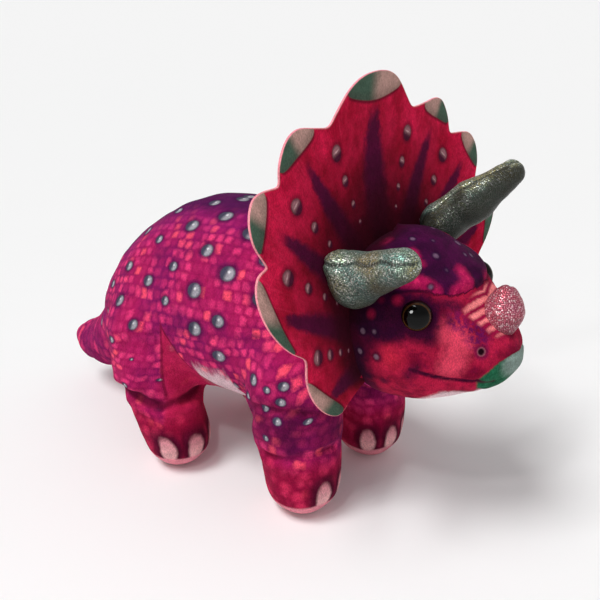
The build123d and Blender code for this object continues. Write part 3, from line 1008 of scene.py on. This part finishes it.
def build_skin():
    points, faces = net_of(body_field, SKIN_LOW, SKIN_HIGH, SKIN_STEP)
    normal = surface_at(body_field, points)[1]
    x, y, z = points.T
    side = np.abs(y)
    mirrored = np.stack([x, -side, z], 1)
    push = 0.55 * lumps(points, 46, 3) + 0.3 * lumps(points, 19, 5)
    # how deep each point is pressed into a fold, kept for the painted shade in the creases
    crease_shade = np.zeros(len(x))
    for path, depth, wide, left in FOLDS:
        near = gap_to(mirrored, np.mean(path, 0)) < 90
        reach = path_distance(mirrored[near], path)
        dent = hill(reach, wide) - 0.35 * hill(reach - 2.3 * wide, wide)
        dent *= depth * np.where(y[near] < 0, 1, left)
        push[near] -= dent
        crease_shade[near] += np.maximum(dent, 0)
    # face: eye hollow, brow, mouth, beak and nostril
    push -= 2.6 * hill(gap_to(mirrored, EYE_HOLLOW), 8.5)
    brow_gap = path_distance(mirrored, BROW)
    line_x, line_z = [p[0] for p in BROW], [p[2] for p in BROW]
    above = z - curve_through(line_x, line_z, x)
    brow = np.where((x > 90) & (x < 152), np.sign(above) * np.minimum(brow_gap, 9), -9)
    brow = np.where(x < 112, np.clip(z - 146 - (112 - x) * 0.3, -9, 9), brow)
    on_face = ramp(108, 122, x) * ramp(154, 148, x)
    push += on_face * ramp(-1, 3, above) * 2.0 * hill(brow_gap - 5, 5)
    push -= on_face * 1.3 * hill(brow_gap, 1.6)
    mouth = path_distance(mirrored, MOUTH)
    push -= np.where(x > 120, 1.3 * hill(mouth, 1.7), 0)
    push += np.where(x > 120, 0.8 * hill(gap_to(mirrored, (140, -40, 105)), 10), 0)
    # beak: in front of a line from the top of the muzzle to the chin
    beak = x - curve_through((88, 98, 104.5, 110, 114, 117.5), (161, 161.5, 163.5, 167.5, 171, 177.5), z)
    push += np.where(x > 155, 0.4 * ramp(-0.5, 1.5, beak), 0)
    push -= np.where(x > 155, 0.8 * hill(beak, 1.3), 0)
    push -= 1.4 * hill(gap_to(mirrored, (163.5, -21.5, 119.5)), 2.0)
    push *= ramp(0.5, 6, z)
    points = points + normal * push[:, None]
    points[:, 2] = np.maximum(points[:, 2], 0.0)
    u, v, crest, is_leg, toe_turn, calm = print_coordinates(points)
    belly_x, belly_z = (-120, -60, -30, -12, 10, 32, 52, 80, 110), (30, 44, 58, 73, 76, 74, 60, 76, 84)
    belly_line = curve_through(belly_x, belly_z, x)
    belly = belly_line - z - 120 * is_leg
    belly = np.where(x < -95, -20, belly)
    seam_x = curve_through((0, 50, 64, 78, 92, 105), (-14, -22, -23.5, -24.5, -24, -24), z)
    panel_end = curve_through((48, 62, 76, 90, 101), (14, 4, -9, -18, -25), z)
    panel = np.minimum(x - seam_x, panel_end - x)
    gusset = np.where((x < 10) & (x > -80) & (z < 103) & (side > 4), panel, -9)
    inner = np.where((x < 5) & (x > -80) & (z < 60) & (side < 38), 9.0, -9)
    gusset = np.maximum(gusset, inner)
    stud = curve_through((-170, -100, -30, 20, 60), (1.6, 2.6, 3.5, 4.5, 3.6), x)
    stud = stud * np.where(z < 70, 0.82, 1)
    stud = stud * ramp(38, 44, z) * ramp(-2, 8, v - 8) * np.where(belly > -6, 0, 1)
    stud = stud * (1 - 0.15 * is_leg) * calm * (1 - ramp(32, 40, x) * ramp(108, 104, z))
    chin = curve_through((108, 125, 135, 147, 158, 166), (77, 82, 89, 97, 95.5, 96.5), x) - z
    muzzle_path = ((151, -31.5, 113), (153, -27, 124), (149, -31, 130))
    muzzle = path_distance(mirrored, muzzle_path) - 8
    gloom = patches(mirrored, GLOOM)
    blush = np.minimum(patches(mirrored, BLUSH_BOTH), patches(points, BLUSH_ONE))
    where = dict(print_u=u, print_v=v, crest=crest, is_leg=is_leg, toe_turn=toe_turn, stud=stud)
    body = dict(belly=belly, gusset=gusset, crease_shade=crease_shade)
    face = dict(chin=chin, muzzle=muzzle, gloom=gloom, blush=blush, brow=brow, mouth=mouth, beak=beak)
    values = {**where, **body, **face}
    return points, faces, values


def split_skin(points, faces):
    """Which body's cloth each face belongs to."""
    cx, cy, cz = points[faces].mean(1).T
    along = cx * NECK_LINE.x + cz * NECK_LINE.z
    where = np.full(len(faces), "torso", dtype=object)
    sides = np.where(cy < 0, "right", "left")
    for name, mask in (("front", (cz < FRONT_CUT) & (cx > 15)), ("hind", (cz < HIND_CUT) & (cx <= 15))):
        for side_name in ("right", "left"):
            where[mask & (sides == side_name)] = side_name + "_" + name + "_leg"
    where[(cx < TAIL_CUT)] = "tail"
    head_side = cz > 60
    where[head_side & (along > NECK_CUTS[0])] = "neck"
    where[head_side & (along > NECK_CUTS[1])] = "throat"
    where[head_side & (along > NECK_CUTS[2])] = "head"
    return where


def metres(*point):
    return tuple(c * MM for c in point)


skin_points, skin_faces, skin_values = build_skin()
skin_part = split_skin(skin_points, skin_faces)
body_plush, face_plush = body_paint(), face_paint()
LEGS = [s + "_" + f + "_leg" for s in ("right", "left") for f in ("front", "hind")]
skins = {}
for part in ["torso", "tail", "neck", "throat", "head", *LEGS]:
    part_faces = skin_faces[skin_part == part]
    used, inverse = np.unique(part_faces, return_inverse=True)
    values = {key: data[used] for key, data in skin_values.items()}
    piece = add_mesh("skin_" + part, skin_points[used], inverse.reshape(part_faces.shape), values)
    piece.data.materials.append(face_plush if part in ("throat", "head") else body_plush)
    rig.padded(piece, fill=0.75)
    skins[part] = piece

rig.ride(skins["torso"], "torso")
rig.ride(skins["head"], "head")
lead = 2.0
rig.blend(skins["tail"], "torso", "tail", start=metres(TAIL_CUT - lead, 0, 0), end=metres(TAIL_END, 0, 0))
for leg in LEGS:
    cut = FRONT_CUT if "front" in leg else HIND_CUT
    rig.blend(skins[leg], "torso", leg, start=metres(0, 0, cut - lead), end=metres(0, 0, LEG_END))
for part, bodies, (low, high) in (
    ("neck", ("torso", "neck"), NECK_CUTS[:2]),
    ("throat", ("neck", "head"), NECK_CUTS[1:]),
):
    begin, finish = [tuple(NECK_LINE * at * MM) for at in (low + lead, high - lead)]
    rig.blend(skins[part], *bodies, start=begin, end=finish)

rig.replaces(skins["torso"], "torso_right_panel", "torso_left_panel", "torso_belly_panel", "torso_filling")
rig.replaces(skins["neck"], "neck_skin", "neck_filling")
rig.replaces(skins["tail"], "tail_right_panel", "tail_left_panel", "tail_filling")
head_nodes = ["right_cheek", "left_cheek", "forehead_panel", "chin_panel", "beak_panel", "filling"]
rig.replaces(skins["head"], *["head_" + n for n in head_nodes], "right_eye_washer", "left_eye_washer")
for leg in LEGS:
    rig.replaces(skins[leg], *[leg + "_" + n for n in ("outer_panel", "inner_panel", "sole", "filling")])
    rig.slot(skins[leg], "body_plush")
for part in ("torso", "tail", "neck"):
    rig.slot(skins[part], "body_plush")
for part in ("throat", "head"):
    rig.slot(skins[part], "face_plush")

# ---------------------------------------------------------------- frill
CREST = ((0, 246.5), (15, 245), (27, 240), (36, 231), (42, 223))
LOBES = (
    ((42, 223), (54, 224.5), (68, 226), (79.5, 222.5), (86, 213.5), (85, 203)),
    ((85, 203), (96, 203), (105.5, 201), (112.5, 193.5), (112.5, 184), (103, 172)),
    ((103, 172), (112, 169.5), (117.5, 161), (116.5, 149.5), (107, 137.5), (91, 127)),
    ((91, 127), (94, 114), (88.5, 101.5), (75.5, 93), (60, 91)),
    ((60, 91), (50, 94), (41, 99), (34, 104)),
)
FRILL_THICK, FRILL_RIM = 2.6, 1.3


def frill_x(y, z):
    """How far forward the frill's dish stands."""
    rise = z - 160
    dish = 90.1 + 0.000875 * y**2 - 0.21 * rise + 0.00066 * rise**2
    return dish + 0.0000111 * rise**3 - 0.000006 * y**2 * rise


def build_frill():
    rim, lobe = [], []
    for n, (line, steps) in enumerate(zip((CREST, *LOBES), (26, 44, 44, 44, 44, 14))):
        line = np.array(line, float)
        t = np.linspace(0, len(line) - 1, steps, endpoint=n == 5)
        knots = np.arange(len(line))
        rim.append(np.stack([curve_through(knots, line[:, k], t) for k in (0, 1)], 1))
        first, length = (4.5, 0.5) if n == 0 else (4 + n, 1.0)
        lobe.append(first + length * t / (len(line) - 1))
    rim, lobe = np.concatenate(rim), np.concatenate(lobe)
    bend = np.linspace(0, 1, len(rim)) * 2.45
    inner = np.stack([38 * np.sin(bend), 120 + 38 * np.cos(bend)], 1)
    rim = np.concatenate([(rim * (-1, 1))[:0:-1], rim])
    inner = np.concatenate([(inner * (-1, 1))[:0:-1], inner])
    lobe = np.concatenate([9 - lobe[:0:-1], lobe])
    for _ in range(6):
        rim[1:-1] = (rim[:-2] + 2 * rim[1:-1] + rim[2:]) / 4
    rings = 60
    layers, info = [], []
    span = np.linalg.norm(rim - inner, axis=1)
    out = np.gradient(rim, axis=0)
    out = np.stack([-out[:, 1], out[:, 0]], 1)
    out /= np.linalg.norm(out, axis=1)[:, None]
    out *= np.sign(((rim - (0, 130)) * out).sum(1))[:, None]

    def layer(rho, shift, grow, back, raw):
        yz = inner * (1 - rho) + rim * rho + out * grow
        wave = 1.5 * np.sin(lobe * 2 * math.pi) * rho**4 + 1.4 * np.sin(lobe * 1.7 + 1) * rho**2
        x = frill_x(yz[:, 0], yz[:, 1]) + shift + wave
        layers.append(np.stack([x, yz[:, 0], yz[:, 1]], 1))
        n = len(rim)
        even = {key: np.full(n, value) for key, value in (("rho", rho), ("back", back), ("raw", raw))}
        info.append({**even, "lobe": lobe, "edge": span * (1 - rho)})

    def half(rho):
        return (FRILL_THICK + (FRILL_RIM - FRILL_THICK) * rho**6) / 2

    for rho in np.linspace(0, 1, rings):
        layer(rho, half(rho), 0, 0.0, 0.0)
    for shift, grow, back in ((0.8, 0.35, 0.0), (0.0, 0.5, 0.0), (-0.8, 0.35, 1.0)):
        layer(1.0, half(1) * shift, grow, back, 1.0)
    for rho in np.linspace(1, 0, rings):
        layer(rho, -half(rho), 0, 1.0, 0.0)
    points = np.concatenate(layers)
    values = {key: np.concatenate([i[key] for i in info]) for key in info[0]}
    n, rows = len(rim), len(layers)
    a = (np.arange(rows)[:, None] * n + np.arange(n - 1)).ravel()
    nxt = ((np.arange(rows)[:, None] + 1) % rows * n + np.arange(n - 1)).ravel()
    faces = np.stack([a, a + 1, nxt + 1, nxt], 1)
    which = np.floor(values["lobe"])
    flat = points[:, 1:]
    studs_reach, studs_rise = np.full(len(points), 9.0), np.zeros(len(points))
    for valley in range(1, 9):
        at = np.argmin(np.abs(lobe - valley))
        heading = rim[at] - inner[at]
        heading /= np.linalg.norm(heading)
        for place, radius in ((0.8, 3.9), (0.58, 2.7), (0.39, 1.9), (0.24, 1.3)):
            offset = flat - (inner[at] * (1 - place) + rim[at] * place)
            rise = offset @ heading
            drift = offset @ (-heading[1], heading[0])
            reach = (drift**2 + 0.7 * rise**2) / radius**2
            nearer = reach < studs_reach
            studs_reach = np.where(nearer, reach, studs_reach)
            studs_rise = np.where(nearer, rise / radius, studs_rise)
    values["stud_reach"], values["stud_rise"] = studs_reach, studs_rise
    values["tip_depth"] = np.where(which == 4, 14.0, 11.5)
    values["tip_depth"] = np.where((which < 0) | (which > 8), 0, values["tip_depth"])
    values["tip_side"] = np.where(which <= 4, -1.0, 1.0)
    start, stop = np.where(which == 4, 0.22, 0.2), np.where(which == 4, 0.78, 0.86)
    values["tip_from"] = np.where(which < 4, 1 - stop, start)
    values["tip_to"] = np.where(which < 4, 1 - start, stop)
    return points, faces, values


frill_points, frill_faces, frill_values = build_frill()
frill = add_mesh("frill_cloth", frill_points, frill_faces, frill_values)
frill.data.materials.append(frill_paint())
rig.padded(frill, fill=0.4)
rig.slot(frill, "frill_front_plush")
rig.blend(frill, "head", "frill", start=metres(95, 0, 125), end=metres(95, 0, 205))
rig.replaces(frill, "frill_front_cloth", "frill_foam", "frill_back_cloth")

# ---------------------------------------------------------------- horns
# Foil tones: base, dot, warm, cool, and the painted shadow tone for the lower side
SILVER = ((62, 76, 66), (244, 250, 240), (176, 164, 112), (132, 178, 168), (26, 38, 30))
ROSE = ((128, 24, 54), (244, 214, 216), (214, 104, 118), (190, 122, 148), (100, 18, 46))
silver = foil_paint("silver_foil_knit", *[ink(*tone) for tone in SILVER])
rose = foil_paint("rose_foil_knit", *[ink(*tone) for tone in ROSE])
RIGHT_HORN = (((106.5, -49.5, 153.6), 12.9), ((141, -66, 172.5), 7.6))
RIGHT_HEEL = ((100.5, -56, 161.5), 7.4)
LEFT_HORN = (((105.5, 44, 160.5), 12.6), ((121, 51, 174.5), 11), ((138, 58.5, 190.8), 7.2))
NOSE_HORN = (((162, -0.5, 129), 9.3), ((164, -0.5, 135.5), 9), ((164.4, -0.5, 143.5), 4.8))
HORNS = (
    ("right_brow_horn", "right_horn", RIGHT_HORN, (0.45, -0.8, 0.38), silver),
    ("left_brow_horn", "left_horn", LEFT_HORN, (0.2, -0.3, 0.9), silver),
    ("nose_horn", "nose_horn", NOSE_HORN, (0, 1, 0.2), rose),
)
for name, body, chain, seam_side, foil in HORNS:
    heel = RIGHT_HEEL if name == "right_brow_horn" else chain[0]
    base, tip = np.array(heel[0], float), np.array(chain[-1][0], float)
    wide = chain[0][1]
    axis = (tip - base) / np.linalg.norm(tip - base)
    seam_way = np.array(seam_side, float) - np.dot(seam_side, axis) * axis
    seam_way /= np.linalg.norm(seam_way)

    def horn_field(x, y, z, chain=chain, heel=heel):
        field = limb(x, y, z, chain, 6)
        if heel is not chain[0]:
            field = merge(field, limb(x, y, z, (chain[0], heel), 6), 6)
        return field

    margin = wide + 10
    corner_low = np.minimum(base, tip) - margin
    corner_high = np.maximum(base, tip) + margin
    points, faces = net_of(horn_field, corner_low, corner_high, 0.9)
    normal = surface_at(horn_field, points)[1]
    offset = points - base
    run = offset @ axis
    radial = offset - run[:, None] * axis
    facing = radial @ seam_way / np.maximum(np.linalg.norm(radial, axis=1), 1e-3)
    cross_way = np.cross(axis, seam_way)
    wave = 0.9 * np.sin(run * 0.3 + 0.6)
    seam = np.where(facing > 0, np.abs(radial @ cross_way - wave), 20)
    push = 0.3 * lumps(points, 24, 11) + 0.14 * lumps(points, 9, 12) - 0.9 * hill(seam, 1.3)
    points = points + normal * push[:, None]
    # painted shade: the far horn is marked to be darkened, and each horn's downward face sets its painted shadow
    far = np.full(len(points), float(name == "left_brow_horn"))
    values = {"seam": seam, "run": run, "under": -normal[:, 2], "far": far}
    horn = add_mesh(name + "_cloth", points, faces, values)
    horn.data.materials.append(foil)
    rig.padded(horn, fill=0.85)
    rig.slot(horn, "nose_foil_cloth" if name == "nose_horn" else "brow_foil_cloth")
    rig.blend(horn, "head", body, start=tuple(base * MM), end=tuple((base + axis * wide * 1.6) * MM))
    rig.replaces(horn, name + "_sleeve", name + "_filling")

# ---------------------------------------------------------------- eyes
EYE_RADIUS, EYE_TALL = 7.5, 5.2


def eye_material():
    paint = Paint("glossy_eye")
    reach = paint.number("reach")
    fleck = paint.noise(paint.join(paint.number("spin") * 6, reach * 2), 1.5, 2.0)
    iris = paint.mix(fleck, ink(38, 18, 8), ink(92, 58, 28))
    tone = paint.mix(paint.step(0.78, 0.86, reach), ink(2, 1, 1), iris)
    tone = paint.mix(paint.step(0.88, 0.95, reach), tone, ink(12, 7, 7))
    return paint.finish(Base_Color=tone, Roughness=0.04, Specular_IOR_Level=0.16)


def build_eye(name, side, material):
    centre = np.array((135.5, side * 39.7, 137.7))
    look = np.array((0.46, side * 0.86, 0.2))
    look /= np.linalg.norm(look)
    right = np.cross(look, (0, 0, 1.0))
    right /= np.linalg.norm(right)
    up = np.cross(right, look)
    bends = np.linspace(0.0, math.pi / 2, 15)
    profile = [(math.sin(a) * EYE_RADIUS, math.cos(a) ** 0.9 * EYE_TALL - 2.2) for a in bends]
    profile += [(EYE_RADIUS + 0.25, -2.6), (EYE_RADIUS - 0.5, -3.6), (EYE_RADIUS * 0.5, -3.8)]
    spins = np.linspace(0, 2 * math.pi, 48, endpoint=False)
    points, reach, spin = [], [], []
    for radius, height in profile:
        for s in spins:
            spoke = right * math.cos(s) + up * math.sin(s)
            points.append(centre + look * height + spoke * max(radius, 0.01))
            reach.append(radius / EYE_RADIUS)
            spin.append(s)
    n = len(spins)
    faces = []
    for k in range(len(profile) - 1):
        for i in range(n):
            here, there = k * n + i, k * n + (i + 1) % n
            faces.append([there, there + n, here + n, here])
    eye = add_mesh(name, np.array(points), faces, {"reach": reach, "spin": spin})
    eye.data.materials.append(material)
    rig.slot(eye, "eye_dome")
    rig.ride(eye, "head")
    return eye


glossy = eye_material()
for side_name, side in (("right", -1), ("left", 1)):
    eye = build_eye(side_name + "_eye", side, glossy)
    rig.replaces(eye, side_name + "_eye_dome", side_name + "_eye_core")

# ---------------------------------------------------------------- studio
bpy.ops.mesh.primitive_plane_add(size=60, location=(0, 0, -0.0006))
floor = bpy.context.object
floor.name = "studio_floor"
white = Paint("studio_white")
white_sheet = white.finish(Base_Color=(0.9, 0.9, 0.9, 1), Roughness=1.0, Specular_IOR_Level=0.0)
floor.data.materials.append(white_sheet)
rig.stage(floor)

world = bpy.data.worlds.new("studio")
bpy.context.scene.world = world
world.use_nodes = True
# white all round, brightest in a low band behind the floor
sky = world.node_tree
height = sky.nodes.new("ShaderNodeSeparateXYZ")
glow = sky.nodes.new("ShaderNodeMapRange")
for key, value in (("From Min", 0.0), ("From Max", 0.35), ("To Min", 0.88), ("To Max", 0.46)):
    glow.inputs[key].default_value = value
sky.links.new(sky.nodes.new("ShaderNodeTexCoord").outputs["Generated"], height.inputs[0])
sky.links.new(height.outputs["Z"], glow.inputs["Value"])
sky.nodes["Background"].inputs["Color"].default_value = (1, 1, 1, 1)
sky.links.new(glow.outputs[0], sky.nodes["Background"].inputs["Strength"])


def soft_light(name, place, aim, size, power):
    data = bpy.data.lights.new(name, "AREA")
    data.shape = "DISK"
    data.size = size
    data.energy = power
    lamp = bpy.data.objects.new(name, data)
    lamp.location = place
    lamp.rotation_euler = (Vector(aim) - Vector(place)).to_track_quat("-Z", "Y").to_euler()
    bpy.context.scene.collection.objects.link(lamp)


sun = bpy.data.lights.new("key", "SUN")
sun.energy = 1.9
sun.angle = math.radians(24)
sun_lamp = bpy.data.objects.new("key", sun)
sun_lamp.rotation_euler = Vector((-0.18, -0.5, 1.0)).to_track_quat("Z", "Y").to_euler()
bpy.context.scene.collection.objects.link(sun_lamp)
soft_light("flash", (0.155, -0.367, 0.49), (0.08, 0, 0.12), 0.04, 0.4)
soft_light("catchlight", (0.098, -0.478, 0.376), (0.136, -0.039, 0.139), 0.16, 2.4)
bpy.data.objects["catchlight"].visible_diffuse = False

camera_data = bpy.data.cameras.new("camera")
camera = bpy.data.objects.new("camera", camera_data)
bpy.context.scene.collection.objects.link(camera)
azimuth, elevation, distance = math.radians(36), math.radians(21.5), 0.48
target = Vector((0.037, 0, 0.111))
flat = math.cos(elevation)
back = Vector((math.sin(azimuth) * flat, -math.cos(azimuth) * flat, math.sin(elevation)))
camera.location = target + back * distance
camera.rotation_euler = (-back).to_track_quat("-Z", "Y").to_euler()
camera_data.lens = 48
camera_data.sensor_width = 36
camera_data.clip_start = 0.01
bpy.context.scene.camera = camera
bpy.context.scene.view_settings.view_transform = "Standard"

low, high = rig.bounds()
sizes = {"cad": [list(cad_low), list(cad_high)], "shown": [list(low), list(high)]}
with open("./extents.json", "w") as f:
    json.dump(sizes, f)
